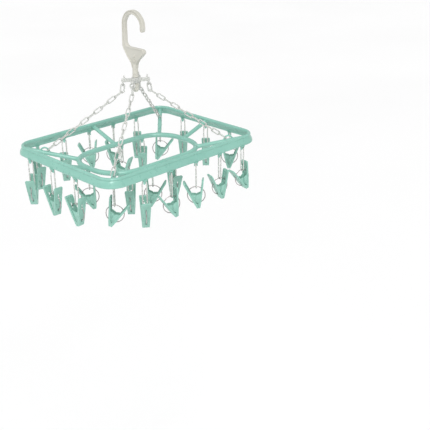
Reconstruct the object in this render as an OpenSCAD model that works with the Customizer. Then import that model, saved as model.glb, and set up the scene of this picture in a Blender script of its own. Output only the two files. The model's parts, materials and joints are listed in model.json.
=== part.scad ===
// Clip drying hanger: a hook with a turning four-arm hub, four chains, a rounded frame with an
// inner ring, and spring pegs on long links.
// Origin: centre of the hook's inner arc, where the drying pole sits. +Z up, +X along the frame.

/* [Hook] */
// Width of the opening that takes the pole
hook_opening = 43; // [38:1:46]
// Height of the opening, from its top down to the ledge
hook_height = 60; // [54:1:66]
// Thickness of the hook's bar, both ways
hook_bar = 7.5; // [6.5:0.5:8.5]
// Diameter of the round stem under the hook
stem_d = 10.5; // [9:0.5:12]
// Distance from the pole's centre down to the hub's arms
hub_drop = 98; // [96:1:106]

/* [Hub and chains] */
// Distance from the stem to the ring on each arm of the hub
hub_reach = 24; // [21:1:28]
// Thickness of the wire of every chain link
chain_wire = 2.2; // [1.8:0.1:2.4]
// Width of a chain link, between the centres of its two sides
chain_width = 6.4; // [6:0.1:7]
// Number of links in each chain, an odd number
chain_links = 11; // [9:2:13]

/* [Frame] */
// Length of the frame, between the centres of its two short sides
frame_l = 365; // [340:1:390]
// Width of the frame, between the centres of its two long sides
frame_w = 277; // [260:1:300]
// Corner radius of the frame
frame_r = 30; // [26:1:36]
// Distance from the pole's centre down to the middle of the frame
frame_drop = 219; // [210:1:230]
// Height of the frame's leaning rim
rim_h = 18; // [16:0.5:20]

/* [Inner ring] */
// Length of the inner ring
ring_l = 236; // [220:1:244]
// Width of the inner ring
ring_w = 140; // [132:1:150]
// Corner radius of the inner ring
ring_r = 58; // [44:1:64]
// Diameter of the inner ring's bar
ring_d = 9.6; // [8:0.2:11]
// Distance that the inner ring hangs below the frame
ring_drop = 22; // [16:1:28]
// Diameter of the eight cross bars
bar_d = 8; // [7:0.5:9]

/* [Pegs] */
// Spacing of the pegs along the long sides
long_pitch = 62; // [58:1:64]
// Spacing of the pegs along the short sides
short_pitch = 68; // [62:1:70]
// Spacing of the pegs under the inner ring's long sides
ring_pitch = 54; // [50:1:56]
// Length of the long peg links, between their two arcs
link_l = 39; // [36:1:46]
// Length of the short peg links, between their two arcs
ring_link_l = 26; // [22:1:41]
// Width of a jaw at the tip
jaw_w = 13; // [12:0.5:14]
// Width of a jaw at the end of its arm
arm_w = 17.5; // [16:0.5:19]

/* [Hidden] */
$fn = 48;
LONG_ROW = 5;
SHORT_ROW = 3;
PEGS = 24;

IVORY = [0.88, 0.87, 0.78];
CLEAR = [0.90, 0.92, 0.90];
MINT = [0.49, 0.80, 0.72];

// hook, seen along the pole: y across, z up
arc_in = hook_opening / 2;
arc_out = arc_in + hook_bar;
ledge_z = arc_in - hook_height;
web_end = ledge_z - 38;
tip_z = -3.5;
nose_r = 5;
nose_y = -23.5;
corner_r = 10;
bulge = 1.5;
groove = 1.1;
edge = 1.7;

// hub: it turns on the stem's neck, between the stem's shoulder and the cap
hub_z = -hub_drop;
hub_h = 10;
hub_d = 15;
neck_r = 3.5;
turn_gap = 0.08;
end_gap = 0.3;
cap_l = 17;
cap_d = 11.4;
arm_h = 6.4;
arm_t = 5.2;
loop_r = 4.2;
loop_wire = 1.5;
gap = 0.12;

// frame and inner ring
half_l = frame_l / 2;
half_w = frame_w / 2;
frame_z = -frame_drop;
ring_z = frame_z - ring_drop;
bead_r = 3.2;
lip_r = 1.5;
lean = 2.6;
diag = sqrt(0.5);
frame_corner = [half_l - frame_r * (1 - diag), half_w - frame_r * (1 - diag)];
ring_corner = [ring_l / 2 - ring_r * (1 - diag), ring_w / 2 - ring_r * (1 - diag)];
// a point on a corner bar, t from 0 at the ring to 1 at the frame
function bar_at(t) = [
    ring_corner.x + t * (frame_corner.x - ring_corner.x),
    ring_corner.y + t * (frame_corner.y - ring_corner.y),
    ring_z + t * ring_drop
];
bar_turn = atan2(frame_corner.y - ring_corner.y, frame_corner.x - ring_corner.x);

// opening link: it hangs in the loop of a hub arm and leans outwards
open_wire = 1.3;
open_r = 3.3;
open_l = 9.8;
open_lean = 8;
loop_z = hub_z - loop_r - 1.4;
open_top = loop_z - loop_r + loop_wire + open_wire + gap;
open_run = open_l + 2 * open_r;

// chain eye: an arch on each corner bar; the chain pulls on its inner shoulder
eye_r = 8;
eye_wire = 1.5;
eye_at = bar_at(0.6);
chain_turn = atan2(eye_at.y, eye_at.x);
pull = 33;
chain_end = [
    eye_at.x - eye_r * cos(pull) * cos(bar_turn),
    eye_at.y - eye_r * cos(pull) * sin(bar_turn),
    eye_at.z + eye_r * sin(pull) + 2
];
chain_r = chain_wire / 2;
first_run = open_run - open_wire - chain_r - gap;
first_r = hub_reach + first_run * sin(open_lean);
chain_start = [
    first_r * cos(chain_turn),
    first_r * sin(chain_turn),
    open_top - first_run * cos(open_lean)
];
chain_way = chain_end - chain_start;
chain_span = norm(chain_way) + eye_wire + chain_r + gap;
link_run = (chain_span + (chain_links - 1) * (chain_wire + gap)) / chain_links;
link_step = link_run - chain_wire - gap;
way_turn = atan2(chain_way.y, chain_way.x);
way_dip = asin(-chain_way.z / norm(chain_way));

// peg, standing on its tip: arms spread along y, hinge pin along x
peg_h = 54;
tip_gap = 0.15;
tip_t = 3.2;
knee_z = 14;
knee_y = 7.9;
arm_y = 19.4;
plate_t = 1.8;
pivot_z = 13.7;
pin_r = 1.5;
cheek_r = 3.2;
cheek_t = 1.4;
cheek_in = 3.6;
cheek_out = 5.2;
cheek_top = 29;
spring_r = 16.4;
spring_wire = 0.8;
spring_z = 25;
spring_end = 24;
slot_w = 2.6;
pocket_x = 4.6;
pocket_z = 21.8;
pocket_deep = 0.8;

// long link and the eyelet that it hangs from
link_r = 3.9;
link_wire = 1.2;
eyelet_pin = 1.2;
eyelet_in = 1.7;
eyelet_t = 1.5;
pad_r = 4.4;
pad_z = 4.2;
pad_h = 2;
pin_drop = 5.2;
link_top = eyelet_pin + link_wire + gap;
function spring_drop(l) = l + 2 * link_r - link_top - link_wire - spring_wire - gap + spring_r;

// where each peg's eyelet pin is: front, back, left and right rows, corner bars, inner ring
rim_pin_z = frame_z - rim_h / 2 - pin_drop;
bar_pin = bar_at(0.45);
bar_pin_z = bar_pin.z - bar_d / 2 - pin_drop;
ring_pin_z = ring_z - ring_d / 2 - pin_drop;
function row(n, pitch, shift) = [for (i = [0:n - 1]) shift + (i - (n - 1) / 2) * pitch];
RIM_PINS = concat(
    [for (x = row(LONG_ROW, long_pitch, 15)) [x, -half_w - lean, rim_pin_z]],
    [for (x = row(LONG_ROW, long_pitch, -9)) [x, half_w + lean, rim_pin_z]],
    [for (y = row(SHORT_ROW, short_pitch, 20)) [-half_l - lean, y, rim_pin_z]],
    [for (y = row(SHORT_ROW, short_pitch, 4)) [half_l + lean, y, rim_pin_z]]
);
BAR_PINS = [for (s = [-1, 1]) [s * bar_pin.x, s * bar_pin.y, bar_pin_z]];
RING_PINS = concat(
    [for (x = row(3, ring_pitch, -28)) [x, -ring_w / 2, ring_pin_z]],
    [for (x = row(2, ring_pitch, 42)) [x, ring_w / 2, ring_pin_z]],
    [[-ring_l / 2, 4, ring_pin_z]]
);
PINS = concat(RIM_PINS, BAR_PINS, RING_PINS);
// the way each peg faces, and how far it has slid round on its spring, in degrees
TURNS = concat(
    [-35, 252, 225, 255, 262], [-20, -25, 225, 40, -45], [185, 180, -47], [45, -45, -50],
    [40, 45], [-45, 45, -20], [20, -45], [230]
);
ROLLS = concat(
    [3, 18, 10, 8, 22], [4, 6, 10, 3, 4], [8, 8, 2], [3, 4, 3],
    [22, 20], [3, 13, 6], [4, 4], [18]
);
FIRST_BAR = len(RIM_PINS);
FIRST_RING = FIRST_BAR + len(BAR_PINS);
// pegs outside the inner ring that hang on a short link too
SHORT_LINKS = [7, 13, 17];
function is_short(i) = i >= FIRST_RING || max([for (s = SHORT_LINKS) s == i ? 1 : 0]) == 1;
function link_of(i) = is_short(i) ? ring_link_l : link_l;

// ---- shapes that several sub-parts use ----

// a round bar between two points
module bar(a, b, r) {
    run = b - a;
    translate(a)
        rotate([0, acos(run.z / norm(run)), atan2(run.y, run.x)])
            cylinder(r = r, h = norm(run));
}

// half a ring of round wire in the XZ plane, open downwards
module half_ring(r, wire) {
    rotate([90, 0, 0]) rotate_extrude(angle = 180) translate([r, 0]) circle(r = wire);
}

// a long link in the XZ plane, hanging from the middle of its top
module long_link(length, r, wire) {
    translate([0, 0, -r]) {
        half_ring(r, wire);
        translate([0, 0, -length]) rotate([0, 180, 0]) half_ring(r, wire);
        for (s = [-1, 1]) translate([s * r, 0, -length]) cylinder(r = wire, h = length);
    }
}

// a 2-D outline led round a rectangle with rounded corners, the outline's x pointing outwards
module led_round(length, width, r) {
    for (i = [0:3]) {
        along = i % 2 == 0 ? width : length;
        away = i % 2 == 0 ? length : width;
        rotate([0, 0, 90 * i]) {
            translate([away / 2, along / 2 - r, 0])
                rotate([90, 0, 0]) linear_extrude(along - 2 * r) children();
            translate([away / 2 - r, along / 2 - r, 0])
                rotate_extrude(angle = 90) translate([r, 0]) children();
        }
    }
}

// puts its children on each of the four diagonals, the local x axis pointing outwards
module on_diagonals(turn) {
    for (a = [turn, 180 - turn, 180 + turn, -turn]) rotate([0, 0, a]) children();
}

// ---- hook and its cap ----

// the hook's outline with every edge moved inwards by i
module hook_outline(i) {
    difference() {
        union() {
            intersection() {
                circle(r = arc_out - i);
                translate([-arc_out, 0]) square(2 * arc_out);
            }
            // the closed leg leans out a little on its way down
            polygon([
                [arc_in + i, 0], [arc_out - i, 0],
                [arc_out + bulge - i, ledge_z + 4], [arc_out + 0.6 - i, ledge_z],
                [arc_in + i, ledge_z]
            ]);
            translate([-arc_out + i, tip_z]) square([hook_bar - 2 * i, -tip_z]);
            translate([-arc_in - hook_bar / 2, tip_z]) circle(r = hook_bar / 2 - i);
            translate([arc_in - corner_r, ledge_z - i]) square(corner_r + i);
        }
        circle(r = arc_in + i);
        translate([arc_in - corner_r, ledge_z + corner_r]) circle(r = corner_r + i);
    }
    translate([nose_y, ledge_z - nose_r]) circle(r = nose_r - i);
    polygon([
        [nose_y, ledge_z - i],
        [arc_in, ledge_z - i],
        [arc_in + i, ledge_z],
        [arc_out + 0.6 - i, ledge_z],
        [27.3 - i, ledge_z - 6],
        [22.5 - i, ledge_z - 13.5],
        [17 - i, ledge_z - 20],
        [stem_d / 2 + 2.2 - i / 2, web_end + 9],
        [stem_d / 2 - i, web_end],
        [-stem_d / 2 + i, web_end],
        [-stem_d / 2 - 1.5 + i / 2, web_end + 9],
        [-14 + i, ledge_z - 20],
        [nose_y - nose_r * diag + i, ledge_z - nose_r - nose_r * diag]
    ]);
}

module hook() {
    color(IVORY) {
        rotate([90, 0, 90]) difference() {
            translate([0, 0, -hook_bar / 2]) linear_extrude(hook_bar) hook_outline(0);
            for (z = [-hook_bar / 2 - 1, hook_bar / 2 - groove])
                translate([0, 0, z]) linear_extrude(groove + 1) hook_outline(edge);
        }
        // two round bosses in the web
        for (z = [ledge_z - 15, ledge_z - 24])
            translate([-hook_bar / 2, -1, z]) rotate([0, 90, 0]) cylinder(r = 2.4, h = hook_bar);
        shoulder = hub_z + hub_h / 2 + end_gap;
        translate([0, 0, shoulder]) cylinder(d = stem_d, h = web_end + 4 - shoulder);
        translate([0, 0, hub_z - hub_h / 2 - end_gap - cap_l + 3])
            cylinder(r = neck_r, h = hub_h + 2 * end_gap + cap_l - 3);
    }
}

module stem_cap() {
    top = hub_z - hub_h / 2 - end_gap;
    color(IVORY) difference() {
        union() {
            translate([0, 0, top - cap_l + 4]) cylinder(d = cap_d, h = cap_l - 4);
            translate([0, 0, top - cap_l]) cylinder(d1 = cap_d - 4, d2 = cap_d, h = 4);
        }
        translate([0, 0, top - cap_l + 3]) cylinder(r = neck_r, h = cap_l);
    }
}

// ---- hub, opening links and chains ----

module hub() {
    color(CLEAR) difference() {
        union() {
            translate([0, 0, hub_z - hub_h / 2]) cylinder(d = hub_d, h = hub_h);
            on_diagonals(chain_turn) {
                translate([0, -arm_t / 2, hub_z - arm_h / 2]) cube([hub_reach, arm_t, arm_h]);
                translate([hub_reach, 0, hub_z - arm_h / 2]) cylinder(d = arm_t, h = arm_h);
                translate([hub_reach, 0, loop_z])
                    rotate([0, 90, 0]) rotate_extrude() translate([loop_r, 0]) circle(r = loop_wire);
                translate([hub_reach - 3.5, 0, hub_z + arm_h / 2 - 1])
                    rotate([0, 12, 0]) cylinder(r1 = 2, r2 = 1.1, h = 7.5);
            }
        }
        translate([0, 0, hub_z - hub_h]) cylinder(r = neck_r + turn_gap, h = 2 * hub_h);
    }
}

module opening_links() {
    color(CLEAR) on_diagonals(chain_turn)
        translate([hub_reach, 0, open_top])
            rotate([0, -open_lean, 0]) long_link(open_l, open_r, open_wire);
}

// one chain, its links lying square to each other in turn, from the opening link to its eye
module chain_run() {
    translate(chain_start) rotate([0, 0, way_turn]) rotate([0, way_dip - 90, 0])
        for (k = [0:chain_links - 1])
            translate([0, 0, -k * link_step])
                rotate([0, 0, k % 2 == 0 ? 90 : 0])
                    long_link(link_run - chain_width, chain_width / 2, chain_r);
}

module chain(i) {
    color(CLEAR) mirror([i == 2 || i == 3 ? 1 : 0, 0, 0]) mirror([0, i > 2 ? 1 : 0, 0]) chain_run();
}

// ---- frame ----

// the eyelet that a peg's link hangs from; its pin lies along y at the origin
module eyelet() {
    translate([0, 0, pad_z]) cylinder(r = pad_r, h = pad_h);
    for (s = [-1, 1])
        translate([-1.8, s * (eyelet_in + eyelet_t / 2) - eyelet_t / 2, -1.8])
            cube([3.6, eyelet_t, pad_z + 2.4]);
    rotate([90, 0, 0]) cylinder(r = eyelet_pin, h = 2 * eyelet_in + eyelet_t, center = true);
}

module eyelets(first, count) {
    for (i = [first:first + count - 1]) translate(PINS[i]) rotate([0, 0, TURNS[i]]) eyelet();
}

// the rim's section: a round bead, and a wall that leans outwards to a rounded lip
module rim_outline() {
    top = rim_h / 2 - bead_r;
    low = -rim_h / 2 + lip_r;
    translate([-lean, top]) circle(r = bead_r);
    translate([lean, low]) circle(r = lip_r);
    polygon([
        [-lean - 1.2, top], [lean - lip_r, low], [lean + lip_r, low], [-lean + bead_r - 0.3, top + 1]
    ]);
}

module rim() {
    translate([0, 0, frame_z]) led_round(frame_l, frame_w, frame_r) rim_outline();
}

module ring() {
    translate([0, 0, ring_z]) led_round(ring_l, ring_w, ring_r) circle(d = ring_d);
}

module outer_frame() {
    color(MINT) {
        rim();
        eyelets(0, FIRST_BAR);
    }
}

module inner_ring() {
    color(MINT) {
        ring();
        eyelets(FIRST_RING, PEGS - FIRST_RING);
    }
}

module cross_bars() {
    color(MINT) {
        difference() {
            for (s = [-1, 1]) {
                bar([0, s * (half_w - lean), frame_z], [0, s * ring_w / 2, ring_z], bar_d / 2);
                bar([s * (half_l - lean), 0, frame_z], [s * ring_l / 2, 0, ring_z], bar_d / 2);
                for (t = [-1, 1])
                    bar(
                        [s * frame_corner.x, t * frame_corner.y, frame_z],
                        [s * ring_corner.x, t * ring_corner.y, ring_z],
                        bar_d / 2
                    );
            }
            rim();
            ring();
        }
        // the arch on each corner bar that holds the end of a chain
        for (s = [-1, 1]) for (t = [-1, 1])
            mirror([s < 0 ? 1 : 0, 0, 0]) mirror([0, t < 0 ? 1 : 0, 0])
                translate([eye_at.x, eye_at.y, eye_at.z + 2])
                    rotate([0, 0, bar_turn]) half_ring(eye_r, eye_wire);
        eyelets(FIRST_BAR, len(BAR_PINS));
    }
}

// ---- pegs ----

// keeps what lies within a jaw's tapering width, less a margin on both edges
module within_width(margin) {
    low = jaw_w / 2 - margin;
    high = arm_w / 2 - margin;
    intersection() {
        children();
        translate([0, peg_h, 0]) rotate([90, 0, 0]) linear_extrude(2 * peg_h)
            polygon([[-low, -1], [low, -1], [high, peg_h + 2], [-high, peg_h + 2]]);
    }
}

// extrudes a side view, drawn as [y, z], from x = from over the given thickness
module side(from, thickness) {
    translate([from, 0, 0]) rotate([90, 0, 90]) linear_extrude(thickness) children();
}

function outer_y(z) = knee_y + (arm_y - knee_y) * (z - knee_z) / (peg_h - knee_z);

// one jaw, on the +y side; both jaws are the same, and the second is turned half round
module jaw() {
    color(MINT) difference() {
        union() {
            difference() {
                within_width(0) side(-arm_w, 2 * arm_w) polygon([
                    [tip_gap, 0.6], [tip_gap + 0.6, 0], [tip_t - 0.8, 0], [tip_t, 0.8],
                    [knee_y, knee_z], [arm_y, peg_h - 0.6], [arm_y - 0.7, peg_h],
                    [arm_y - 2.6, peg_h], [4.2, 15], [3.9, 11.5], [tip_gap, 8]
                ]);
                // the arm is a channel, open towards the other jaw
                within_width(1.5) side(-arm_w, 2 * arm_w) polygon([
                    [outer_y(18) - plate_t, 18], [outer_y(51.5) - plate_t, 51.5],
                    [outer_y(51.5) - 9, 51.5], [outer_y(18) - 9, 18]
                ]);
            }
            for (from = [cheek_out, -cheek_in - cheek_t]) side(from, cheek_t) {
                translate([0, pivot_z]) circle(r = cheek_r);
                polygon([
                    [0, pivot_z - cheek_r], [3, 9], [knee_y - 1, knee_z],
                    [outer_y(cheek_top) - 1, cheek_top], [0.4, cheek_top - 2.5]
                ]);
            }
            // hinge pin on the inner cheek
            translate([-cheek_in - cheek_t - 1.6, 0, pivot_z])
                rotate([0, 90, 0]) cylinder(r = pin_r, h = 1.6 + cheek_t);
        }
        // pin hole in the outer cheek, and the slots for the spring
        translate([cheek_out - 1, 0, pivot_z])
            rotate([0, 90, 0]) cylinder(r = pin_r + 0.1, h = cheek_t + 2);
        translate([-slot_w / 2, 7, 31.8]) cube([slot_w, 12, 9.4]);
        translate([-slot_w / 2, 4.2, 7]) cube([slot_w, 6, 5.5]);
        // two shallow oval pockets in the arm's outer face
        for (s = [-1, 1])
            translate([s * pocket_x, outer_y(pocket_z) - pocket_deep, pocket_z])
                rotate([-90, 0, 0]) scale([1, 1.7]) cylinder(r = 1, h = 4);
    }
}

// the ring spring: it passes out through both arms and in again below the pivot
module ring_spring() {
    color([0.72, 0.70, 0.70]) translate([0, 0, spring_z]) rotate([90, 0, 90])
        rotate([0, 0, spring_end - 90])
            rotate_extrude(angle = 360 - 2 * spring_end) translate([spring_r, 0]) circle(r = spring_wire);
}

// puts a standing peg where peg i hangs, turned on its spring
module hang(i) {
    drop = spring_drop(link_of(i));
    translate(PINS[i]) rotate([0, 0, TURNS[i]])
        translate([0, 0, -drop]) rotate([ROLLS[i], 0, 0]) translate([0, 0, -spring_z])
            children();
}

// the link, the spring and one jaw of peg i
module peg_front(i) {
    color(CLEAR) translate(PINS[i]) rotate([0, 0, TURNS[i]]) translate([0, 0, link_top])
        long_link(link_of(i), link_r, link_wire);
    hang(i) {
        ring_spring();
        jaw();
    }
}

// the other jaw of peg i
module peg_back(i) {
    hang(i) rotate([0, 0, 180]) jaw();
}

hook();
stem_cap();
hub();
opening_links();
for (i = [1:4]) chain(i);
outer_frame();
inner_ring();
cross_bars();
for (i = [1:PEGS]) peg_front(i - 1);
for (i = [1:PEGS]) peg_back(i - 1);
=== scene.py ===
"""Clip drying hanger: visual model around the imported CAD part. Metres, row frame, +Z up."""
import json
import math

import bmesh
import bpy
from mathutils import Matrix, Vector


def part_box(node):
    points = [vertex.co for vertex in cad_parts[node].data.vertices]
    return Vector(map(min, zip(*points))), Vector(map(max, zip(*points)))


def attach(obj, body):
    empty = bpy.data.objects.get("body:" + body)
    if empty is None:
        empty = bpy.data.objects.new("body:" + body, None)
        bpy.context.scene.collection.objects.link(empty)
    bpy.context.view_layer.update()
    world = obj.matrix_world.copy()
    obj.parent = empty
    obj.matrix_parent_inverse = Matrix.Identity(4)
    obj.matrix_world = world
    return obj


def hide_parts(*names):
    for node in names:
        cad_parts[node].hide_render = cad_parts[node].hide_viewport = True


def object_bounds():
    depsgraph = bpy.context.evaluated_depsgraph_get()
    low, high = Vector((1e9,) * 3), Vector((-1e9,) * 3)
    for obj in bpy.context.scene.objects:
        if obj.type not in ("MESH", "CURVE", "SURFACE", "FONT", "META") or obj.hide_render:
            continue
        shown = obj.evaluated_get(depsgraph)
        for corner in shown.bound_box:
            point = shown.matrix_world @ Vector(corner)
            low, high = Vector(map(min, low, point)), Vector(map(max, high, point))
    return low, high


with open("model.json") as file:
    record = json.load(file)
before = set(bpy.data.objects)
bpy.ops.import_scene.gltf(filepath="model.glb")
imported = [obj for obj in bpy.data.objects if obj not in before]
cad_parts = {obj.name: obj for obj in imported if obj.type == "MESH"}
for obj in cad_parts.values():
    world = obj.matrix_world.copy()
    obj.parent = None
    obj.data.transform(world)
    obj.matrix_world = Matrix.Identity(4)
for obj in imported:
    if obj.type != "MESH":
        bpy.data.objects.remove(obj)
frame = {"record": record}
cad_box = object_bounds()
JOINTS = {j["name"]: j for j in frame["record"]["behaviour"]["joints"]}
SCENE = bpy.context.scene
MM = 0.001
TAU = 2 * math.pi

# ---------------------------------------------------------------- camera

HALF_RIM = 0.009
FRAME_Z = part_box("outer_frame")[1].z - HALF_RIM
AZIMUTH, ELEVATION, ROLL = (math.radians(v) for v in (-45.52, 23.79, -0.19))
LENS = 70.15
CAMERA_BACK, CAMERA_RIGHT, CAMERA_DOWN = 1.5949, 0.1460, 0.1390


def make_camera():
    data = bpy.data.cameras.new("camera")
    data.sensor_width, data.lens = 36, LENS
    data.clip_start, data.clip_end = 0.05, 60
    cam = bpy.data.objects.new("camera", data)
    SCENE.collection.objects.link(cam)
    flat = math.cos(ELEVATION)
    ahead = Vector((-math.sin(AZIMUTH) * flat, math.cos(AZIMUTH) * flat, -math.sin(ELEVATION)))
    side = Vector((math.cos(AZIMUTH), math.sin(AZIMUTH), 0))
    up = side.cross(ahead)
    turn = Matrix.Rotation(ROLL, 3, -ahead)
    side, up = turn @ side, turn @ up
    # the hanger fills the upper left of the picture
    aim = Vector((0, 0, FRAME_Z))
    place = aim - ahead * CAMERA_BACK + side * CAMERA_RIGHT - up * CAMERA_DOWN
    rows = Matrix((side, up, -ahead)).transposed()
    cam.matrix_world = Matrix.Translation(place) @ rows.to_4x4()
    SCENE.camera = cam


make_camera()

# ---------------------------------------------------------------- materials


def nodes_of(name):
    """A new material with a shader linked to its output."""
    mat = bpy.data.materials.new(name)
    mat.use_nodes = True
    tree = mat.node_tree
    tree.nodes.clear()
    out = tree.nodes.new("ShaderNodeOutputMaterial")
    shader = tree.nodes.new("ShaderNodeBsdfPrincipled")
    tree.links.new(shader.outputs["BSDF"], out.inputs["Surface"])
    return mat, tree, shader


def noise(tree, scale, detail, stretch=(1, 1, 1)):
    """Noise in object space, with scale features in each metre."""
    place = tree.nodes.new("ShaderNodeTexCoord")
    mapping = tree.nodes.new("ShaderNodeMapping")
    mapping.inputs["Scale"].default_value = stretch
    tex = tree.nodes.new("ShaderNodeTexNoise")
    tex.inputs["Scale"].default_value = scale
    tex.inputs["Detail"].default_value = detail
    tree.links.new(place.outputs["Object"], mapping.inputs["Vector"])
    tree.links.new(mapping.outputs["Vector"], tex.inputs["Vector"])
    return tex.outputs["Fac"]


def ramp(tree, source, stops):
    """Colours for a value from 0 to 1, given as (place, colour) pairs."""
    node = tree.nodes.new("ShaderNodeValToRGB")
    points = node.color_ramp.elements
    while len(points) < len(stops):
        points.new(0.5)
    for point, (at, colour) in zip(points, stops):
        point.position = at
        point.color = (*colour, 1)
    tree.links.new(source, node.inputs["Fac"])
    return node.outputs["Color"]


def spread(tree, source, low, high):
    """Stretches the middle of a noise to the range low to high."""
    node = tree.nodes.new("ShaderNodeMapRange")
    node.inputs["To Min"].default_value = low
    node.inputs["To Max"].default_value = high
    node.inputs["From Min"].default_value = 0.3
    node.inputs["From Max"].default_value = 0.7
    tree.links.new(source, node.inputs["Value"])
    return node.outputs["Result"]


def mix(tree, factor, a, b):
    """Blends two colours; factor, a and b may each be a value or another node's output."""
    node = tree.nodes.new("ShaderNodeMix")
    node.data_type = "RGBA"
    for socket, value in ((node.inputs[0], factor), (node.inputs[6], a), (node.inputs[7], b)):
        if isinstance(value, bpy.types.NodeSocket):
            tree.links.new(value, socket)
        elif isinstance(value, (int, float)):
            socket.default_value = value
        else:
            socket.default_value = (*value, 1)
    return node.outputs[2]


def bump(tree, shader, heights):
    """Adds bumps, coarse first; each is (height, strength, distance in metres)."""
    last = None
    for height, strength, distance in heights:
        node = tree.nodes.new("ShaderNodeBump")
        node.inputs["Strength"].default_value = strength
        node.inputs["Distance"].default_value = distance
        tree.links.new(height, node.inputs["Height"])
        if last:
            tree.links.new(last, node.inputs["Normal"])
        last = node.outputs["Normal"]
    tree.links.new(last, shader.inputs["Normal"])


def plastic(name, light, deep, rough, see_through=0.0, glow=0.0, coat=0.0, edge_highlight=0.35):
    """Moulded plastic: cloudy colour, orange-peel gloss, and a painted highlight that lightens
    sharp edges, its strength set by the last argument.
    """
    mat, tree, shader = nodes_of(name)
    cloud = noise(tree, 38, 4)
    flow = noise(tree, 12, 2, (1, 1, 3))
    colour = ramp(tree, cloud, [(0.25, deep), (0.75, light)])
    pale = [min(1.0, v * 1.07 + 0.01) for v in light]
    colour = mix(tree, spread(tree, flow, 0.0, 0.55), colour, pale)
    # painted highlight: sharp edges (high pointiness) are blended towards a paler colour, as if
    # they caught the light
    edge = tree.nodes.new("ShaderNodeNewGeometry").outputs["Pointiness"]
    edge_highlight_mask = tree.nodes.new("ShaderNodeMapRange")
    edge_highlight_mask.inputs["From Min"].default_value = 0.52
    edge_highlight_mask.inputs["From Max"].default_value = 0.60
    edge_highlight_mask.inputs["To Max"].default_value = edge_highlight
    tree.links.new(edge, edge_highlight_mask.inputs["Value"])
    highlight_colour = [min(1.0, v * 1.15 + 0.05) for v in light]
    colour = mix(tree, edge_highlight_mask.outputs["Result"], colour, highlight_colour)
    tree.links.new(colour, shader.inputs["Base Color"])
    smear = noise(tree, 140, 3)
    tree.links.new(spread(tree, smear, rough - 0.05, rough + 0.07), shader.inputs["Roughness"])
    peel, grain = noise(tree, 260, 2), noise(tree, 2400, 2)
    bump(tree, shader, [(peel, 0.10, 0.0004), (grain, 0.06, 0.0001)])
    shader.inputs["IOR"].default_value = 1.49
    shader.inputs["Transmission Weight"].default_value = see_through
    shader.inputs["Subsurface Weight"].default_value = glow
    shader.inputs["Subsurface Radius"].default_value = (0.004, 0.004, 0.004)
    shader.inputs["Subsurface Scale"].default_value = 0.6
    shader.inputs["Coat Weight"].default_value = coat
    shader.inputs["Coat Roughness"].default_value = 0.18
    return mat


def steel(name):
    """Drawn spring wire with fine lines along it and a few duller spots."""
    mat, tree, shader = nodes_of(name)
    lines = noise(tree, 700, 2, (1, 1, 0.2))
    spots = noise(tree, 90, 4)
    colour = ramp(tree, spots, [(0.35, (0.36, 0.32, 0.32)), (0.7, (0.62, 0.57, 0.57))])
    tree.links.new(colour, shader.inputs["Base Color"])
    tree.links.new(spread(tree, spots, 0.24, 0.42), shader.inputs["Roughness"])
    bump(tree, shader, [(lines, 0.15, 0.0001)])
    shader.inputs["Metallic"].default_value = 1.0
    return mat


def floor_material():
    mat, tree, shader = nodes_of("studio_floor")
    stops = [(0.3, (0.93, 0.93, 0.93)), (0.7, (0.95, 0.95, 0.95))]
    colour = ramp(tree, noise(tree, 0.6, 2), stops)
    tree.links.new(colour, shader.inputs["Base Color"])
    shader.inputs["Roughness"].default_value = 0.9
    shader.inputs["Specular IOR Level"].default_value = 0.1
    return mat


MINT = plastic("mint_moulding", (0.245, 0.500, 0.420), (0.205, 0.445, 0.370), 0.30,
               glow=0.12, coat=0.25)
PEG_MINT = plastic("mint_peg", (0.255, 0.490, 0.410), (0.205, 0.430, 0.350), 0.36,
                   glow=0.12, coat=0.12)
IVORY = plastic("ivory_moulding", (0.565, 0.555, 0.50), (0.50, 0.49, 0.43), 0.34,
                glow=0.15, coat=0.1)
MILKY = plastic("milky_moulding", (0.74, 0.75, 0.72), (0.64, 0.65, 0.62), 0.26,
                see_through=0.35, glow=0.1, edge_highlight=0.04)
STEEL = steel("spring_wire")
FLOOR = floor_material()

# ---------------------------------------------------------------- mesh helpers


def finish_mesh(bm, name, smooth=35):
    """Turns a bmesh in millimetres into a mesh in metres with clean outward normals."""
    bmesh.ops.recalc_face_normals(bm, faces=bm.faces)
    bmesh.ops.scale(bm, vec=(MM, MM, MM), verts=bm.verts)
    mesh = bpy.data.meshes.new(name)
    bm.to_mesh(mesh)
    bm.free()
    shade(mesh, smooth)
    return mesh


def shade(mesh, smooth):
    mesh.polygons.foreach_set("use_smooth", [True] * len(mesh.polygons))
    mesh.set_sharp_from_angle(angle=math.radians(smooth))


def skin(bm, rows, around=True, along=False, caps=True):
    """A surface through rows of points.

    around joins each row's ends, and along joins the last row to the first.
    """
    made = [[bm.verts.new(p) for p in row] for row in rows]
    count = len(made[0])
    last = len(made) if along else len(made) - 1
    for i in range(last):
        a, b = made[i], made[(i + 1) % len(made)]
        for j in range(count if around else count - 1):
            k = (j + 1) % count
            bm.faces.new((a[j], a[k], b[k], b[j]))
    if caps and around and not along:
        bm.faces.new(made[0])
        bm.faces.new(made[-1])


def circle(r, n):
    return [(r * math.cos(TAU * i / n), r * math.sin(TAU * i / n)) for i in range(n)]


def wire_section(r, n, seam):
    """A round wire with a faint moulding seam on both sides."""
    points = circle(r, n)
    for i in (0, n // 2):
        points[i] = (points[i][0] * (1 + seam), points[i][1])
    return points


def tube(bm, points, section, up, ends):
    """Sweeps a section along an open path.

    up is a direction that is never parallel to the path, and ends scales each row.
    """
    points = [Vector(p) for p in points]
    rows = []
    total = len(points)
    for i, p in enumerate(points):
        before = points[i - 1] if i else p
        after = points[i + 1] if i < total - 1 else p
        ahead = (after - before).normalized()
        u = up.cross(ahead).normalized()
        v = ahead.cross(u).normalized()
        k = ends[i]
        rows.append([p + u * (a * k) + v * (b * k) for a, b in section])
    skin(bm, rows)


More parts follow.
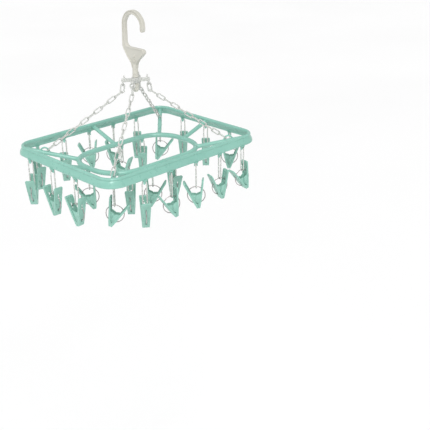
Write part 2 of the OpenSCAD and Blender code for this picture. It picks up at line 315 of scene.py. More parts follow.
def lathe(bm, profile, n=32, place=Matrix.Identity(4)):
    """Turns (radius, height) pairs about z; a radius of 0 closes the end."""
    rows = []
    for r, z in profile:
        r = max(r, 0.001)
        rows.append([place @ Vector((x, y, z)) for x, y in circle(r, n)])
    skin(bm, rows)


def rounded(points, radii, steps=6):
    """A closed outline with its corners rounded; radii is one number or one for each corner."""
    if isinstance(radii, (int, float)):
        radii = [radii] * len(points)
    out = []
    n = len(points)
    for i, r in enumerate(radii):
        p, a, b = Vector(points[i]), Vector(points[i - 1]), Vector(points[(i + 1) % n])
        if r <= 0:
            out.append(p)
            continue
        ua, ub = (a - p).normalized(), (b - p).normalized()
        half = ua.angle(ub) / 2
        cut = min(r / math.tan(half), 0.49 * (a - p).length, 0.49 * (b - p).length)
        r = cut * math.tan(half)
        centre = p + (ua + ub).normalized() * (r / math.sin(half))
        start, end = p + ua * cut - centre, p + ub * cut - centre
        for s in range(steps + 1):
            t = s / steps
            out.append(centre + (start * (1 - t) + end * t).normalized() * r)
    return out


def offset(outline, d):
    """An outline moved inwards by d, for an outline that runs anticlockwise."""
    out = []
    n = len(outline)
    for i in range(n):
        p, a, b = outline[i], outline[i - 1], outline[(i + 1) % n]
        e, f = (p - a).normalized(), (b - p).normalized()
        m = Vector((-e.y - f.y, e.x + f.x))
        scale = max(0.35, 1 + e.dot(f))
        out.append(p + m * (d / scale))
    return out


def prism(bm, outline, axis, low, high, bevel=0.0):
    """Extrudes a 2-D outline along x, y or z between two heights, its edges eased by bevel."""
    def at(p, h):
        where = {"x": (h, p[0], p[1]), "y": (p[0], h, p[1]), "z": (p[0], p[1], h)}
        return Vector(where[axis])

    outline = [Vector(p) for p in outline]
    area = sum(a.x * b.y - b.x * a.y for a, b in zip(outline, outline[1:] + outline[:1]))
    if area < 0:
        outline.reverse()
    steps = 3 if bevel else 0
    rows = []
    for i in range(steps + 1):
        t = math.pi / 2 * i / max(steps, 1)
        ring = offset(outline, bevel * (1 - math.sin(t))) if bevel else outline
        rows.append([at(p, low + bevel * (1 - math.cos(t))) for p in ring])
    if bevel:
        rows += [[at(p, high - bevel * (1 - math.cos(math.pi / 2 * i / steps)))
                  for p in offset(outline, bevel * (1 - math.sin(math.pi / 2 * i / steps)))]
                 for i in range(steps, -1, -1)]
    else:
        rows.append([at(p, high) for p in outline])
    skin(bm, rows)


def temp(bm):
    """A scratch object in millimetres, for cutting and joining."""
    bmesh.ops.recalc_face_normals(bm, faces=bm.faces)
    mesh = bpy.data.meshes.new("scratch")
    bm.to_mesh(mesh)
    bm.free()
    obj = bpy.data.objects.new("scratch", mesh)
    SCENE.collection.objects.link(obj)
    return obj


def solid(kind, *args):
    """A scratch object made by one of the mesh helpers."""
    bm = bmesh.new()
    kind(bm, *args)
    return temp(bm)


def settle(obj):
    """The object's mesh with its modifiers applied; the object goes."""
    bpy.context.view_layer.update()
    graph = bpy.context.evaluated_depsgraph_get()
    mesh = bpy.data.meshes.new_from_object(obj.evaluated_get(graph))
    old = obj.data
    bpy.data.objects.remove(obj)
    bpy.data.meshes.remove(old)
    return mesh


def carve(base, parts):
    """Applies (operation, object) pairs to base in turn and returns a new scratch object."""
    for operation, part in parts:
        mod = base.modifiers.new("cut", "BOOLEAN")
        mod.operation, mod.solver, mod.object = operation, "EXACT", part
    mesh = settle(base)
    for _, part in parts:
        data = part.data
        bpy.data.objects.remove(part)
        bpy.data.meshes.remove(data)
    obj = bpy.data.objects.new("scratch", mesh)
    SCENE.collection.objects.link(obj)
    return obj


def ease(obj, width, name):
    """Rounds the edges of a scratch object and returns its mesh in metres."""
    flat_angle, edge_angle = 1.5, 32
    bm = bmesh.new()
    bm.from_mesh(obj.data)
    bmesh.ops.remove_doubles(bm, verts=bm.verts, dist=0.002)
    bmesh.ops.dissolve_limit(bm, angle_limit=math.radians(flat_angle), verts=bm.verts,
                             edges=bm.edges)
    bm.to_mesh(obj.data)
    bm.free()
    mod = obj.modifiers.new("ease", "BEVEL")
    mod.width, mod.segments, mod.limit_method = width, 2, "ANGLE"
    mod.angle_limit = math.radians(edge_angle)
    mod.use_clamp_overlap = True
    mesh = settle(obj)
    mesh.transform(Matrix.Scale(MM, 4))
    mesh.name = name
    shade(mesh, 50)
    return mesh


def piece(name, mesh, material, body, place=Matrix.Identity(4)):
    """One shown object that rides on a body; place is a matrix in metres."""
    if not mesh.materials:
        mesh.materials.append(material)
    obj = bpy.data.objects.new(name, mesh)
    SCENE.collection.objects.link(obj)
    obj.matrix_world = place
    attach(obj, body)
    return obj


def built(name, material, body, make, smooth=40):
    """One shown object whose mesh the function make fills, in millimetres."""
    bm = bmesh.new()
    make(bm)
    return piece(name, finish_mesh(bm, name, smooth), material, body)


# ---------------------------------------------------------------- sizes, millimetres

HUB_Z = JOINTS["hub_swivel"]["pos_m"][2] / MM
ARC_IN, BAR = 21.5, 7.5
ARC_OUT = ARC_IN + BAR
LEDGE_Z, WEB_END = -38.5, -76.5
NECK_R, HUB_H, GAP, CAP_L, CAP_D, STEM_D = 3.5, 10.0, 0.3, 17.0, 11.4, 10.5
HUB_REACH, LOOP_R, LOOP_WIRE = 24.0, 4.2, 1.5
FRAME_L, FRAME_W, FRAME_R = 365.0, 277.0, 30.0
RIM_H, LEAN, BEAD_R, LIP_R = 18.0, 2.6, 3.2, 1.5
RING_L, RING_W, RING_R, RING_D, RING_DROP, BAR_D = 236.0, 140.0, 58.0, 9.6, 22.0, 8.0
RIM_Z = FRAME_Z / MM
RING_Z = RIM_Z - RING_DROP
CHAIN_WIRE, CHAIN_W, CHAIN_LINKS, JOIN_GAP = 2.2, 6.4, 11, 0.12
OPEN_WIRE, OPEN_R, OPEN_L, OPEN_LEAN = 1.3, 3.3, 9.8, 8
EYE_R, EYE_WIRE, PULL = 8.0, 1.5, 33
PEG_H, PIVOT_Z, SPRING_Z, SPRING_R, SPRING_WIRE, SPRING_END = 54.0, 13.7, 25.0, 16.4, 0.8, 24
LINK_R, LINK_WIRE, EYELET_PIN = 3.9, 1.2, 1.2
JAW_W, ARM_W, CHEEK_IN, CHEEK_OUT, CHEEK_TOP = 13.0, 17.5, 3.6, 5.2, 29.0
CHEEK_THICK, JAW_REACH = 1.4, 9
CHANNEL_LOW, CHANNEL_HIGH = 18, 51.2
POCKET_X, POCKET_Z = 4.6, 21.8
LINK_TOP = EYELET_PIN + LINK_WIRE + JOIN_GAP
LINK_REST = 2 * LINK_R - LINK_TOP - LINK_WIRE - SPRING_WIRE - JOIN_GAP + SPRING_R
DIAG = math.sqrt(0.5)


def corner(length, width, r):
    return Vector((length / 2 - r * (1 - DIAG), width / 2 - r * (1 - DIAG)))


FRAME_CORNER, RING_CORNER = corner(FRAME_L, FRAME_W, FRAME_R), corner(RING_L, RING_W, RING_R)


def bar_at(t):
    flat = RING_CORNER.lerp(FRAME_CORNER, t)
    return Vector((flat.x, flat.y, RING_Z + t * RING_DROP))


BAR_TURN = math.atan2(*(FRAME_CORNER - RING_CORNER).yx)
EYE = bar_at(0.6)
CHAIN_TURN = math.atan2(EYE.y, EYE.x)

# ---------------------------------------------------------------- hook


def arc(cx, cy, r, a, b, n):
    """Points on a circle from a to b degrees."""
    angles = [math.radians(a + (b - a) * i / n) for i in range(n + 1)]
    return [Vector((cx + r * math.cos(t), cy + r * math.sin(t))) for t in angles]


def hook_outline():
    """The hook's side view as (y, z), anticlockwise, from the outside of the closed leg."""
    points = arc(0, 0, ARC_OUT, 0, 165, 38)
    points += [Vector((-28.6, -0.5)), Vector((-27.9, -4))]
    points += arc(-24.2, -4.2, 3.6, 190, 350, 12)
    points += [Vector((-20.8, -1)), Vector((-21.2, 3.5))]
    points += arc(0, 0, ARC_IN, 168, 0, 32)
    points += [Vector((ARC_IN, -10)), Vector((ARC_IN, -20))]
    points += arc(ARC_IN - 10, LEDGE_Z + 10, 10, 0, -90, 12)
    points += [Vector((4, LEDGE_Z)), Vector((-12, LEDGE_Z))]
    points += arc(-23.5, LEDGE_Z - 5, 5, 90, 225, 12)
    corners = [(-27.0, -47.0), (-13, LEDGE_Z - 20.5), (-6.6, WEB_END + 9), (-5.1, WEB_END),
               (5.1, WEB_END), (7.4, WEB_END + 9), (17.4, LEDGE_Z - 19.5),
               (ARC_OUT + 1.4, LEDGE_Z - 1), (ARC_OUT + 0.4, -16)]
    lower = rounded(corners, [0, 14, 12, 0, 0, 12, 20, 16, 0], 8)
    return points + lower[1:]


def hook_body(bm):
    """The hook's bar and web: rounded rims and a recessed panel on both faces."""
    outline = hook_outline()
    half, rim, sink, soft = BAR / 2, 1.7, 1.1, 0.8
    stack = [(soft * (1 - math.sin(t)), half - soft * (1 - math.cos(t)))
             for t in (math.pi / 2 * i / 4 for i in range(4, -1, -1))]
    stack += [(rim - 0.35, half), (rim - 0.1, half - 0.15), (rim + 0.05, half - sink + 0.25),
              (rim + 0.4, half - sink)]
    side = [(-0.05, 0)] + stack
    rows = [[Vector((h, *p)) for p in offset(outline, d)] for d, h in side]
    back = [[Vector((-h, *p)) for p in offset(outline, d)] for d, h in reversed(stack)]
    skin(bm, back + rows)


def hook_stem(bm):
    """The round stem with a thin band, a collar over the hub, and the neck through it."""
    shoulder = HUB_Z + HUB_H / 2 + GAP
    neck_end = HUB_Z - HUB_H / 2 - GAP - 2
    top = WEB_END + 8
    half = STEM_D / 2
    dome = [(0, top), (half * 0.55, top - 0.4), (half * 0.85, top - 2.4), (half, top - 6)]
    band = [(half, top - 16), (half + 0.25, top - 16.6), (half + 0.25, top - 18),
            (half, top - 18.6)]
    collar = [(half, shoulder + 3.2), (half + 0.7, shoulder + 2.6), (half + 0.7, shoulder + 0.6),
              (half + 0.3, shoulder)]
    neck = [(NECK_R, shoulder), (NECK_R, neck_end), (0, neck_end)]
    lathe(bm, dome + band + collar + neck, 40)


def boss(bm, z):
    """A small screw boss on both faces of the web."""
    r, face = 2.4, BAR / 2
    profile = [(0, 1.6), (r + 0.5, 1.6), (r + 0.35, 2.5), (r, 2.75), (r, face - 0.3),
               (r - 0.3, face), (r - 1.1, face), (r - 1.35, face - 0.5), (0, face - 0.55)]
    for s in (-1, 1):
        turn = Matrix.Translation((0, -1, z)) @ Matrix.Rotation(s * math.pi / 2, 4, "Y")
        lathe(bm, profile, 28, turn)


hook = built("hook_body", IVORY, "hook_body", hook_body, 30)
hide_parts("hook")
built("hook_stem", IVORY, "hook_body", hook_stem, 30)
for number, z in enumerate((LEDGE_Z - 15, LEDGE_Z - 24), 1):
    built(f"hook_boss_{number}", IVORY, "hook_body", lambda bm: boss(bm, z), 30)


def cap(bm):
    """The cap under the hub: a groove near its top and a rounded lower end."""
    top = HUB_Z - HUB_H / 2 - GAP
    low = top - CAP_L
    r = CAP_D / 2
    bore = [(0, top - 0.4), (NECK_R - 0.3, top - 0.4), (NECK_R, top)]
    groove = [(r - 0.5, top), (r, top - 0.5), (r, top - 2.2), (r - 0.35, top - 2.5),
              (r - 0.35, top - 3.1), (r, top - 3.4)]
    end = [(r, low + 4.6), (r - 0.25, low + 3.6), (r - 1.7, low + 0.8), (r - 2.6, low), (0, low)]
    lathe(bm, bore + groove + end, 40)


stem_cap = built("stem_cap_body", IVORY, "hook_body", cap, 30)
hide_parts("stem_cap")

# ---------------------------------------------------------------- hub, opening links, chains


def diagonals(turn):
    """Turns about z to the four arms, each turn radians off the x axis."""
    return [Matrix.Rotation(a, 4, "Z") for a in (turn, math.pi - turn, math.pi + turn, -turn)]


def torus(bm, r, wire, place):
    """A ring of wire in the YZ plane."""
    n, section = 40, 14
    rows = []
    for i in range(n):
        a = TAU * i / n
        out = Vector((0, math.cos(a), math.sin(a)))
        rows.append([place @ (out * (r + c) + Vector((d, 0, 0)))
                     for c, d in circle(wire, section)])
    skin(bm, rows, along=True)


LOOP_Z = HUB_Z - LOOP_R - 1.4


def make_hub():
    """The four-armed hub, grown together as one moulding."""
    core = solid(lathe, [(0, HUB_Z - 5), (6.9, HUB_Z - 5), (7.5, HUB_Z - 4.4), (7.5, HUB_Z + 4.4),
                         (6.9, HUB_Z + 5), (0, HUB_Z + 5)], 48)
    parts = []
    for spin in diagonals(CHAIN_TURN):
        half, wide, top = 2.6, 3.2, HUB_Z
        shape = [(0, top - wide), (HUB_REACH, top - wide), (HUB_REACH + half, top - wide + 1.2),
                 (HUB_REACH + half, top + wide - 1.2), (HUB_REACH, top + wide),
                 (0, top + wide - 0.4)]
        bm = bmesh.new()
        prism(bm, rounded(shape, [0, 1.6, 1.2, 1.2, 1.6, 0], 4), "y", -half, half)
        bmesh.ops.transform(bm, matrix=spin, verts=bm.verts)
        parts.append(("UNION", temp(bm)))
        bm = bmesh.new()
        torus(bm, LOOP_R, LOOP_WIRE, spin @ Matrix.Translation((HUB_REACH, 0, LOOP_Z)))
        parts.append(("UNION", temp(bm)))
        bm = bmesh.new()
        lean = (Matrix.Translation((HUB_REACH - 3.5, 0, HUB_Z + 2.2))
                @ Matrix.Rotation(math.radians(12), 4, "Y"))
        lathe(bm, [(0, 0), (2, 0), (1.1, 7), (0.7, 7.5), (0, 7.6)], 20, spin @ lean)
        parts.append(("UNION", temp(bm)))
    obj = carve(core, parts)
    mod = obj.modifiers.new("grow", "REMESH")
    mod.mode, mod.voxel_size = "VOXEL", 0.34
    mod = obj.modifiers.new("soften", "SMOOTH")
    mod.factor, mod.iterations = 0.5, 5
    mod = obj.modifiers.new("thin", "DECIMATE")
    mod.ratio = 0.3
    mesh = settle(obj)
    obj = bpy.data.objects.new("scratch", mesh)
    SCENE.collection.objects.link(obj)
    bore, reach = NECK_R + 0.08, 9
    hole = solid(lathe, [(0, HUB_Z - reach), (bore, HUB_Z - reach), (bore, HUB_Z + reach),
                         (0, HUB_Z + reach)], 40)
    mesh = settle(carve(obj, [("DIFFERENCE", hole)]))
    mesh.transform(Matrix.Scale(MM, 4))
    mesh.name = "hub_body"
    shade(mesh, 50)
    return mesh


hub = piece("hub_body", make_hub(), MILKY, "carrier")
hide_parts("hub")


def link_path(length, r, arc_steps=10, leg_steps=4):
    """A long link's centre line in the XZ plane, hanging from z = 0."""
    path = []
    for cz, start in ((-r, 0), (-r - length, 180)):
        for i in range(arc_steps + 1):
            a = math.radians(start + 180 * i / arc_steps)
            path.append(Vector((r * math.cos(a), 0, cz + r * math.sin(a))))
        if start == 0:
            path += [Vector((-r, 0, -r - length * i / leg_steps)) for i in range(1, leg_steps)]
        else:
            path += [Vector((r, 0, -r - length * (1 - i / leg_steps))) for i in range(1, leg_steps)]
    return path


def link(bm, length, r, wire, place=Matrix.Identity(4), n=14):
    """A long oval link with a faint seam, swept in its own plane."""
    path = link_path(length, r)
    rows = []
    total = len(path)
    section = wire_section(wire, n, 0.05)
    for i, p in enumerate(path):
        ahead = (path[(i + 1) % total] - path[i - 1]).normalized()
        u = Vector((0, 1, 0)).cross(ahead).normalized()
        rows.append([place @ (p + u * a + Vector((0, 1, 0)) * b) for a, b in section])
    skin(bm, rows, along=True)


OPEN_TOP = LOOP_Z - LOOP_R + LOOP_WIRE + OPEN_WIRE + JOIN_GAP
OPEN_RUN = OPEN_L + 2 * OPEN_R
CHAIN_R = CHAIN_WIRE / 2


def opening_links(bm):
    for spin in diagonals(CHAIN_TURN):
        place = (spin @ Matrix.Translation((HUB_REACH, 0, OPEN_TOP))
                 @ Matrix.Rotation(-math.radians(OPEN_LEAN), 4, "Y"))
        link(bm, OPEN_L, OPEN_R, OPEN_WIRE, place, 16)


made = built("opening_link_set", MILKY, "carrier", opening_links)
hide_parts("opening_links")

first_run = OPEN_RUN - OPEN_WIRE - CHAIN_R - JOIN_GAP
first_r = HUB_REACH + first_run * math.sin(math.radians(OPEN_LEAN))
CHAIN_START = Vector((first_r * math.cos(CHAIN_TURN), first_r * math.sin(CHAIN_TURN),
                      OPEN_TOP - first_run * math.cos(math.radians(OPEN_LEAN))))
pull = math.radians(PULL)
CHAIN_END = EYE + Vector((-EYE_R * math.cos(pull) * math.cos(BAR_TURN),
                          -EYE_R * math.cos(pull) * math.sin(BAR_TURN), EYE_R * math.sin(pull) + 2))
CHAIN_WAY = CHAIN_END - CHAIN_START
LINK_RUN = (CHAIN_WAY.length + EYE_WIRE + CHAIN_R + JOIN_GAP
            + (CHAIN_LINKS - 1) * (CHAIN_WIRE + JOIN_GAP)) / CHAIN_LINKS
LINK_STEP = LINK_RUN - CHAIN_WIRE - JOIN_GAP


def chain_run(bm, flip):
    """A straight chain, every other link turned a quarter."""
    dip = math.asin(-CHAIN_WAY.z / CHAIN_WAY.length)
    base = (Matrix.Translation(CHAIN_START)
            @ Matrix.Rotation(math.atan2(CHAIN_WAY.y, CHAIN_WAY.x), 4, "Z")
            @ Matrix.Rotation(dip - math.pi / 2, 4, "Y"))
    for k in range(CHAIN_LINKS):
        spin = Matrix.Rotation(math.pi / 2 if k % 2 == 0 else 0, 4, "Z")
        place = flip @ base @ Matrix.Translation((0, 0, -k * LINK_STEP)) @ spin
        link(bm, LINK_RUN - CHAIN_W, CHAIN_W / 2, CHAIN_R, place)


for number in range(1, 5):
    flip = Matrix.Diagonal((-1 if number in (2, 3) else 1, -1 if number > 2 else 1, 1, 1))
    made = built(f"chain_{number}_links", MILKY, "carrier",
                 lambda bm: chain_run(bm, flip))
    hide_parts(f"chain_{number}")

# ---------------------------------------------------------------- frame, ring, bars


def led_round(bm, length, width, r, z, section, corner_steps=20, side_steps=10):
    """Sweeps a section of (outwards, up) points round a rounded rectangle."""
    rows = []
    for q in range(4):
        away, along = (length, width) if q % 2 == 0 else (width, length)
        spin = Matrix.Rotation(q * math.pi / 2, 4, "Z")
        flat = along - 2 * r
        for i in range(side_steps):
            y = -flat / 2 + flat * i / side_steps
            rows.append([spin @ Vector((away / 2 + a, y, z + b)) for a, b in section])
        for i in range(corner_steps):
            t = math.pi / 2 * i / corner_steps
            rows.append([spin @ Vector((away / 2 - r + (r + a) * math.cos(t),
                                        along / 2 - r + (r + a) * math.sin(t), z + b))
                         for a, b in section])
    skin(bm, rows, along=True)


def rim_section():
    """The rim's section: bead on top, a groove under it, a leaning wall and a rounded lip."""
    top, low = RIM_H / 2 - BEAD_R, -RIM_H / 2 + LIP_R
    out = []
    for i in range(17):
        a = math.radians(-38 + 236 * i / 16)
        out.append(Vector((-LEAN + BEAD_R * math.cos(a), top + BEAD_R * math.sin(a))))
    wall = [(-LEAN - 2.55, top - 3.0), (-LEAN - 1.7, top - 4.4), (-0.6, -1.5),
            (LEAN - LIP_R - 0.1, low + 0.6)]
    lip = LIP_R + 0.1
    for a in (200, 230, 260, 290, 320, 350):
        t = math.radians(a)
        wall.append((LEAN + lip * math.cos(t), low + LIP_R * math.sin(t)))
    wall += [(LEAN + LIP_R + 0.1, low + 1.6), (LEAN + 1.15, low + 2.4), (LEAN + 0.75, -2.6),
             (0.95, 2.0), (0.35, 3.4)]
    return out + [Vector(p) for p in wall]


rim = built("frame_rim", MINT, "carrier",
            lambda bm: led_round(bm, FRAME_L, FRAME_W, FRAME_R, RIM_Z, rim_section()), 60)
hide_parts("outer_frame")


def ring_section():
    """The inner ring's round section, with a faint seam inside and outside."""
    points = []
    for i, (a, b) in enumerate(circle(RING_D / 2, 28)):
        k = 1.03 if i in (0, 14) else 1.0
        points.append(Vector((a * k, b)))
    return points


ring = built("inner_ring_bar", MINT, "carrier",
             lambda bm: led_round(bm, RING_L, RING_W, RING_R, RING_Z, ring_section(), 28, 8), 60)
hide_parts("inner_ring")


def flared_bar(bm, a, b):
    """A round bar that swells where it grows out of its neighbours."""
    a, b = Vector(a), Vector(b)
    way = b - a
    length = way.length
    ahead = way.normalized()
    u = Vector((0, 0, 1)).cross(ahead).normalized()
    v = ahead.cross(u)
    flare, reach = 0.34, 11
    rows = []
    steps = [0, 2, 3.5, 5, 6.5, 8.5, 11, 14]
    stations = steps + [length / 2] + [length - s for s in reversed(steps)]
    for s in stations:
        near = min(s, length - s)
        k = BAR_D / 2 * (1 + flare * max(0.0, 1 - near / reach) ** 2)
        rows.append([a + ahead * s + u * (k * c) + v * (k * d)
                     for c, d in wire_section(1, 24, 0.02)])
    skin(bm, rows)


def cross_bars(bm):
    """Four struts from the middles of the sides, and four bars across the corners."""
    half_w, half_l = FRAME_W / 2 - LEAN + 1, FRAME_L / 2 - LEAN + 1
    for s in (-1, 1):
        flared_bar(bm, (0, s * half_w, RIM_Z), (0, s * RING_W / 2, RING_Z))
        flared_bar(bm, (s * half_l, 0, RIM_Z), (s * RING_L / 2, 0, RING_Z))
        for t in (-1, 1):
            flared_bar(bm, (s * FRAME_CORNER.x, t * FRAME_CORNER.y, RIM_Z),
                       (s * RING_CORNER.x, t * RING_CORNER.y, RING_Z))


bars = built("cross_bar_set", MINT, "carrier", cross_bars, 60)
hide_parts("cross_bars")


def chain_eye(bm, s, t):
    """The arch that a chain ends on, its feet flared into the bar."""
    turn = math.atan2(t * math.sin(BAR_TURN), s * math.cos(BAR_TURN))
    place = Matrix.Translation((s * EYE.x, t * EYE.y, EYE.z + 2)) @ Matrix.Rotation(turn, 4, "Z")
    path, ends = [], []
    for i in range(25):
        a = math.radians(-8 + 196 * i / 24)
        path.append(place @ Vector((EYE_R * math.cos(a), 0, EYE_R * math.sin(a))))
        near = min(i, 24 - i)
        ends.append(1 + 0.5 * max(0.0, 1 - near / 4) ** 2)
    side = place.to_3x3() @ Vector((0, 1, 0))
    tube(bm, path, wire_section(EYE_WIRE, 16, 0.03), up=side, ends=ends)


for number, (s, t) in enumerate(((-1, -1), (1, -1), (1, 1), (-1, 1)), 1):
    built(f"chain_eye_{number}", MINT, "carrier", lambda bm: chain_eye(bm, s, t))

# ---------------------------------------------------------------- eyelets


def make_eyelet():
    """Pad, two ears and a cross pin, as one moulding; the pin lies along y at the origin."""
    base = solid(lathe, [(0, 4.2), (4.0, 4.2), (4.4, 4.6), (4.4, 5.6), (5.0, 6.3), (0, 6.3)], 28)
    ear = rounded([(-1.8, -1.9), (1.8, -1.9), (2.2, 4.8), (-2.2, 4.8)], [1.7, 1.7, 0.2, 0.2], 6)
    parts = []
    for low in (-3.2, 1.7):
        parts.append(("UNION", solid(prism, ear, "y", low, low + 1.5)))
    turn = Matrix.Rotation(math.pi / 2, 4, "X")
    pin = [(0, -3.5), (0.9, -3.5), (EYELET_PIN, -3.2), (EYELET_PIN, 3.2), (0.9, 3.5), (0, 3.5)]
    parts.append(("UNION", solid(lathe, pin, 20, turn)))
    return ease(carve(base, parts), 0.22, "eyelet")


# ---------------------------------------------------------------- pegs


def outer_y(z):
    """Where the outside of the arm is at a height."""
    return 7.9 + 11.5 * (z - 14) / 40


def jaw_outline():
    """The jaw from the outside: narrow at the tip and wide at the top of the arm."""
    low, high = JAW_W / 2, ARM_W / 2
    corners = [(-low, -0.5), (low, -0.5), (high, PEG_H), (-high, PEG_H)]
    return rounded(corners, [1.2, 1.2, 2.8, 2.8], 6)


def jaw_profile():
    """The jaw from the side."""
    corners = [(0.15, 0.7), (0.85, 0), (2.3, 0), (3.3, 1.0), (7.9, 14), (19.4, 53.3),
               (18.6, PEG_H), (17.0, PEG_H), (16.5, 53), (4.2, 15), (3.9, 11.5), (0.15, 8.2)]
    return rounded(corners, [0.2, 0.4, 0.6, 1.2, 5, 0.5, 0.4, 0.3, 0.3, 0.8, 0.6, 0.4], 4)


def arm_channel():
    """A wedge that hollows the inside of the arm, narrower towards the hinge."""
    back, front = 1.8, 9
    low_y, high_y = outer_y(CHANNEL_LOW), outer_y(CHANNEL_HIGH)
    corners = [(low_y - back, CHANNEL_LOW), (high_y - back, CHANNEL_HIGH),
               (high_y - front, CHANNEL_HIGH), (low_y - front, CHANNEL_LOW)]
    low = JAW_W / 2 + (ARM_W - JAW_W) / 2 * CHANNEL_LOW / PEG_H - 1.5
    high = ARM_W / 2 - 1.6
    bm = bmesh.new()
    rows = []
    for y, z in rounded(corners, [0.6, 0.8, 0, 0], 4):
        half = low + (high - low) * (z - CHANNEL_LOW) / 33.2
        rows.append([bm.verts.new((x, y, z)) for x in (-half, half)])
    for i, row in enumerate(rows):
        after = rows[(i + 1) % len(rows)]
        bm.faces.new((row[0], row[1], after[1], after[0]))
    for j in (0, 1):
        bm.faces.new([row[j] for row in rows])
    return temp(bm)


def make_jaw():
    """One jaw on the +y side, standing on its tip, with cheeks, hinge pin, slots and teeth."""
    base = solid(prism, jaw_profile(), "x", -JAW_REACH, JAW_REACH)
    parts = []

    def add(operation, *args):
        parts.append((operation, solid(*args)))

    add("INTERSECT", prism, jaw_outline(), "y", -3, 24)
    parts.append(("DIFFERENCE", arm_channel()))
    corners = [(-0.2, PIVOT_Z - 3.4), (3, 8.6), (6.9, 14), (outer_y(CHEEK_TOP) - 1.0, CHEEK_TOP),
               (0.5, CHEEK_TOP - 2.6), (-2.6, PIVOT_Z + 1.6)]
    cheek = rounded(corners, [2.6, 0.6, 0.3, 0.4, 1.4, 2.4], 5)
    for x in (CHEEK_OUT, -CHEEK_IN - CHEEK_THICK):
        add("UNION", prism, cheek, "x", x, x + CHEEK_THICK)
    # rib down the inside of the arm, over the slot
    rib = [(outer_y(42.5) - 2.8, 42.5), (outer_y(42.5) - 1.2, 42.5),
           (outer_y(52) - 1.2, 52), (outer_y(52) - 3.6, 52)]
    add("UNION", prism, rib, "x", -0.6, 0.6)
    # hinge pin on the inner cheek, sunk a little in the other jaw's cheek
    side = Matrix.Rotation(math.pi / 2, 4, "Y")
    pin = Matrix.Translation((-CHEEK_OUT - 1.05, 0, PIVOT_Z)) @ side
    add("UNION", lathe, [(0, 0), (1.2, 0), (1.5, 0.25), (1.5, 2.4), (0, 2.4)], 20, pin)
    hole = Matrix.Translation((CHEEK_OUT - 0.7, 0, PIVOT_Z)) @ side
    add("DIFFERENCE", lathe, [(0, 0), (1.6, 0), (1.6, 4), (0, 4)], 20, hole)
    # upper and lower slot for the ring spring
    upper = rounded([(-1.3, 31.8), (1.3, 31.8), (1.3, 41.2), (-1.3, 41.2)], 1.0, 4)
    add("DIFFERENCE", prism, upper, "y", 6, 20)
    lower = rounded([(-1.3, 7), (1.3, 7), (1.3, 12.5), (-1.3, 12.5)], 0.8, 4)
    add("DIFFERENCE", prism, lower, "y", 4.2, 12)
    # two oval pockets, one on each side of the slots
    for x in (-POCKET_X, POCKET_X):
        oval = [(x + a, POCKET_Z + b * 1.7) for a, b in circle(1.0, 16)]
        add("DIFFERENCE", prism, oval, "y", outer_y(POCKET_Z) - 1.1, 16)
    # teeth across the inside of the tip
    for z in (1.7, 3.1, 4.5, 5.9):
        tooth = [(-0.6, z - 0.55), (0.55, z), (-0.6, z + 0.55)]
        add("DIFFERENCE", prism, tooth, "x", -JAW_REACH, JAW_REACH)
    return ease(carve(base, parts), 0.24, "peg_jaw")


def make_spring():
    """The ring spring, open at the bottom, where its ends hook into the lower slots."""
    bm = bmesh.new()
    path, ends = [], []
    steps = 72
    for i in range(steps + 1):
        a = math.radians(-90 + SPRING_END + (360 - 2 * SPRING_END) * i / steps)
        path.append(Vector((0, SPRING_R * math.cos(a), SPRING_Z + SPRING_R * math.sin(a))))
        ends.append(1.0)
    for end, back in ((0, 1), (-1, -2)):
        way = (path[end] - path[back]).normalized()
        tip = path[end] + way * 0.45
        path.insert(0 if end == 0 else len(path), tip)
        ends.insert(0 if end == 0 else len(ends), 0.55)
    tube(bm, path, circle(SPRING_WIRE, 12), up=Vector((1, 0, 0)), ends=ends)
    return finish_mesh(bm, "ring_spring", 50)


def make_link(length):
    bm = bmesh.new()
    link(bm, length, LINK_R, LINK_WIRE, n=12)
    return finish_mesh(bm, "peg_link", 50)


def scaled(place):
    """A matrix in millimetres, its move turned into metres."""
    out = place.copy()
    out.translation = place.translation * MM
    return out


eyelet_mesh, jaw_mesh, spring_mesh = make_eyelet(), make_jaw(), make_spring()
link_meshes = {}

# each peg hangs where its two joints are: the swing at the eyelet's pin, the other at the hinge
pegs = sorted((n for n in JOINTS if n.endswith("_swing")), key=lambda n: int(n.split("_")[1]))
for swing in pegs:
    number = swing.split("_")[1]
    joint, hinge = JOINTS[swing], JOINTS[f"peg_{number}_open"]
    pin = Vector(joint["pos_m"]) / MM
    turn = math.atan2(-joint["axis"][0], joint["axis"][1])
    away = Vector(hinge["pos_m"]) / MM - pin
    spin = Matrix.Rotation(turn, 4, "Z")
    local = spin.inverted() @ away
    arm = SPRING_Z - PIVOT_Z
    roll = math.asin(max(-1.0, min(1.0, local.y / arm)))
    drop = -away.z - arm * math.cos(roll)
    length = round(drop - LINK_REST, 2)
    hang = Matrix.Translation(pin) @ spin
    stand = (hang @ Matrix.Translation((0, 0, -drop)) @ Matrix.Rotation(roll, 4, "X")
             @ Matrix.Translation((0, 0, -SPRING_Z)))
    body = f"peg_{number}"
    if length not in link_meshes:
        link_meshes[length] = make_link(length)
    piece(f"eyelet_{number}", eyelet_mesh, MINT, "carrier", scaled(hang))
    piece(f"peg_link_{number}", link_meshes[length], MILKY, body,
          scaled(hang @ Matrix.Translation((0, 0, LINK_TOP))))
    piece(f"peg_spring_{number}", spring_mesh, STEEL, body, scaled(stand))
    front = piece(f"peg_jaw_{number}_front", jaw_mesh, PEG_MINT, body, scaled(stand))
    back = piece(f"peg_jaw_{number}_back", jaw_mesh, PEG_MINT, f"{body}_jaw",
                 scaled(stand @ Matrix.Rotation(math.pi, 4, "Z")))
    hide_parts(f"peg_{number}_front")
    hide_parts(f"peg_{number}_back")

# ---------------------------------------------------------------- studio


FLOOR_DROP = 1.3
WORLD_LIGHT, BACKDROP_LIGHT = 0.62, 1.0


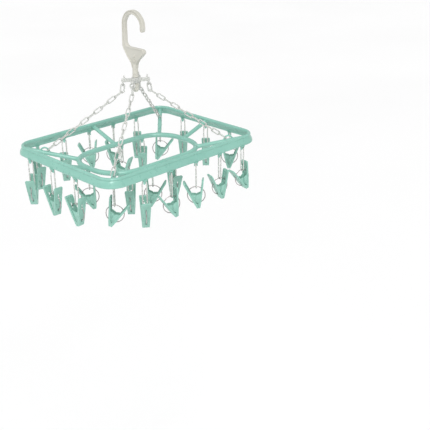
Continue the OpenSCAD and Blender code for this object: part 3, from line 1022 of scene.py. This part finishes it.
def make_floor():
    """A very wide pale floor, well below the hanger so that it catches no hard shadow."""
    bm = bmesh.new()
    z = cad_box[0].z - FLOOR_DROP
    lines = (-50, -8, 0, 8, 50)
    rows = [[Vector((x, y, z)) for x in lines] for y in lines]
    skin(bm, rows, around=False, caps=False)
    mesh = bpy.data.meshes.new("floor")
    bm.to_mesh(mesh)
    bm.free()
    mesh.materials.append(FLOOR)
    floor = bpy.data.objects.new("floor", mesh)
    SCENE.collection.objects.link(floor)


def area_light(name, place, target, size, power):
    data = bpy.data.lights.new(name, "AREA")
    data.shape, data.size, data.energy = "DISK", size, power
    obj = bpy.data.objects.new(name, data)
    SCENE.collection.objects.link(obj)
    obj.location = place
    obj.rotation_mode = "QUATERNION"
    obj.rotation_quaternion = (Vector(target) - Vector(place)).to_track_quat("-Z", "Y")


def sun(name, direction, power, spread_deg):
    """A far light with soft shadows; direction is the way that it shines."""
    data = bpy.data.lights.new(name, "SUN")
    data.energy, data.angle = power, math.radians(spread_deg)
    obj = bpy.data.objects.new(name, data)
    SCENE.collection.objects.link(obj)
    obj.rotation_mode = "QUATERNION"
    obj.rotation_quaternion = Vector(direction).to_track_quat("-Z", "Y")


def make_world():
    """Even white light all round, and a pure white backdrop past the end of the floor."""
    world = bpy.data.worlds.new("studio")
    world.use_nodes = True
    tree = world.node_tree
    light = tree.nodes["Background"]
    light.inputs["Color"].default_value = (1, 1, 1, 1)
    light.inputs["Strength"].default_value = WORLD_LIGHT
    backdrop = tree.nodes.new("ShaderNodeBackground")
    backdrop.inputs["Color"].default_value = (1, 1, 1, 1)
    backdrop.inputs["Strength"].default_value = BACKDROP_LIGHT
    seen = tree.nodes.new("ShaderNodeLightPath")
    both = tree.nodes.new("ShaderNodeMixShader")
    tree.links.new(seen.outputs["Is Camera Ray"], both.inputs["Fac"])
    tree.links.new(light.outputs["Background"], both.inputs[1])
    tree.links.new(backdrop.outputs["Background"], both.inputs[2])
    tree.links.new(both.outputs["Shader"], tree.nodes["World Output"].inputs["Surface"])
    SCENE.world = world


make_floor()
make_world()
sun("key", (0.45, 0.75, -1.0), 1.35, 30)
sun("side", (0.9, -0.35, -0.8), 0.55, 40)
area_light("glint", (-1.1, -1.1, 0.7), (0, 0, -0.22), 0.35, 5)
SCENE.view_settings.view_transform = "Standard"
